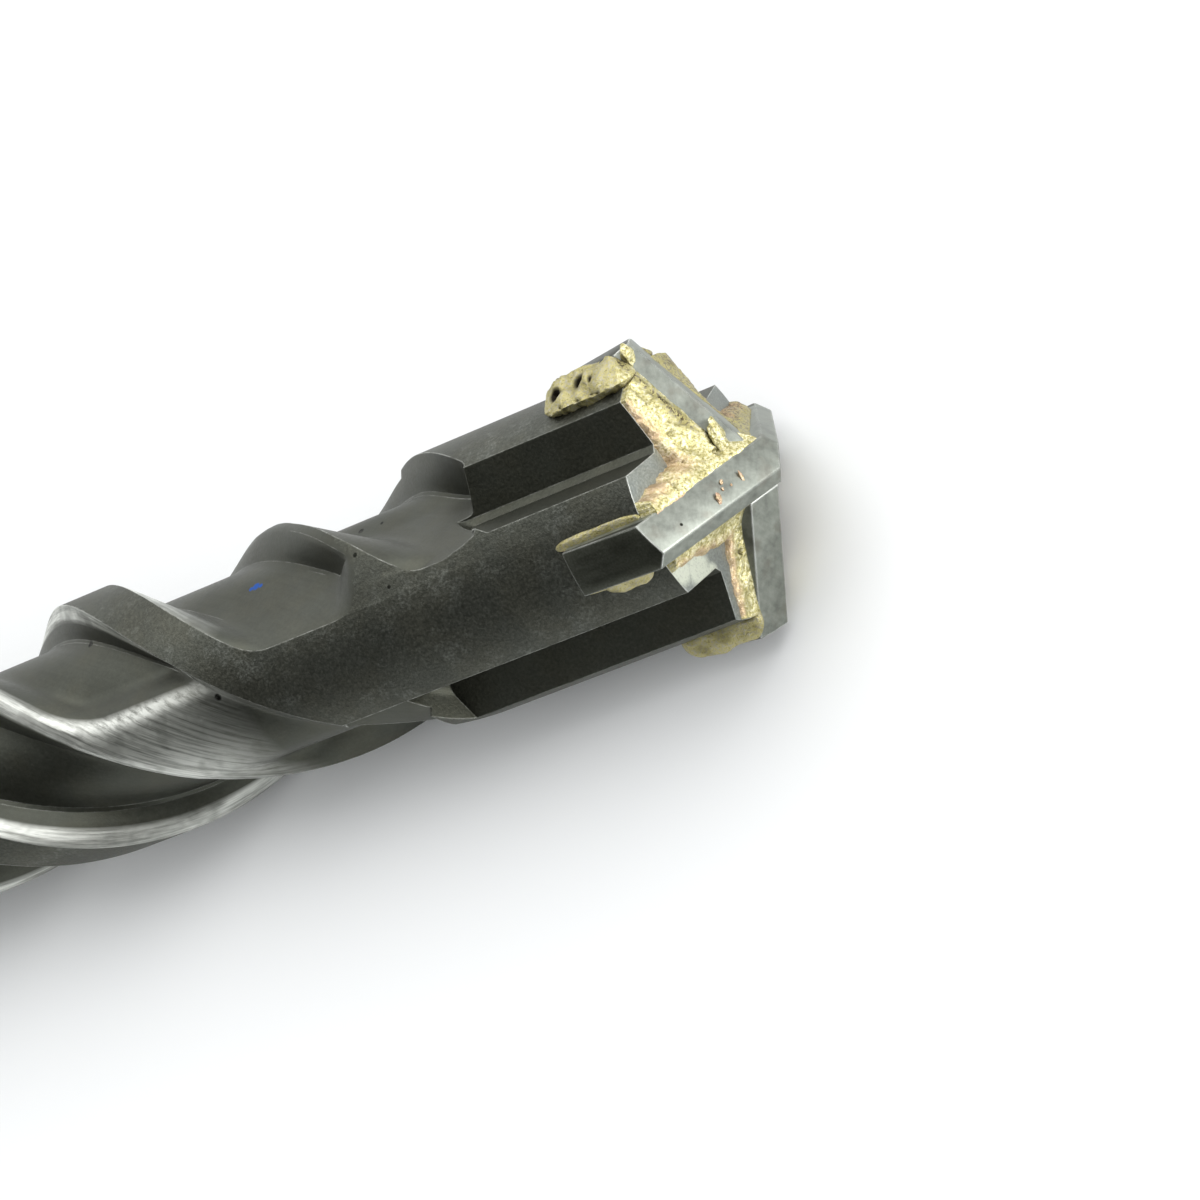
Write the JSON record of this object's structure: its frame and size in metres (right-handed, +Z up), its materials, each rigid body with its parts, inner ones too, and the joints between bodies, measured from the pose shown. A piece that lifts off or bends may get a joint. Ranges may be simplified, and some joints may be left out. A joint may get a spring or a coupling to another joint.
{
  "type": "hammer drill bit",
  "caption": "Masonry drill bit for a rotary hammer: helical flutes, a cross-shaped carbide-tipped head and a slotted quick-change shank.",
  "frame": {"origin": "middle of the bit's length, on the surface that it lies on", "axes": "+X along the bit's axis towards the tip, +Z up, with the bit lying on its helical ridges between two arms of the head"},
  "size_m": [0.1997, 0.017, 0.0171],
  "materials": {
    "tool_steel": "satin",
    "carbide": "satin",
    "braze": "grainy"
  },
  "bodies": {
    "root": {"drill_body": "tool_steel", "main_cutter": "carbide", "side_cutter_a": "carbide", "side_cutter_b": "carbide", "braze": "braze"}
  },
  "joints": []
}
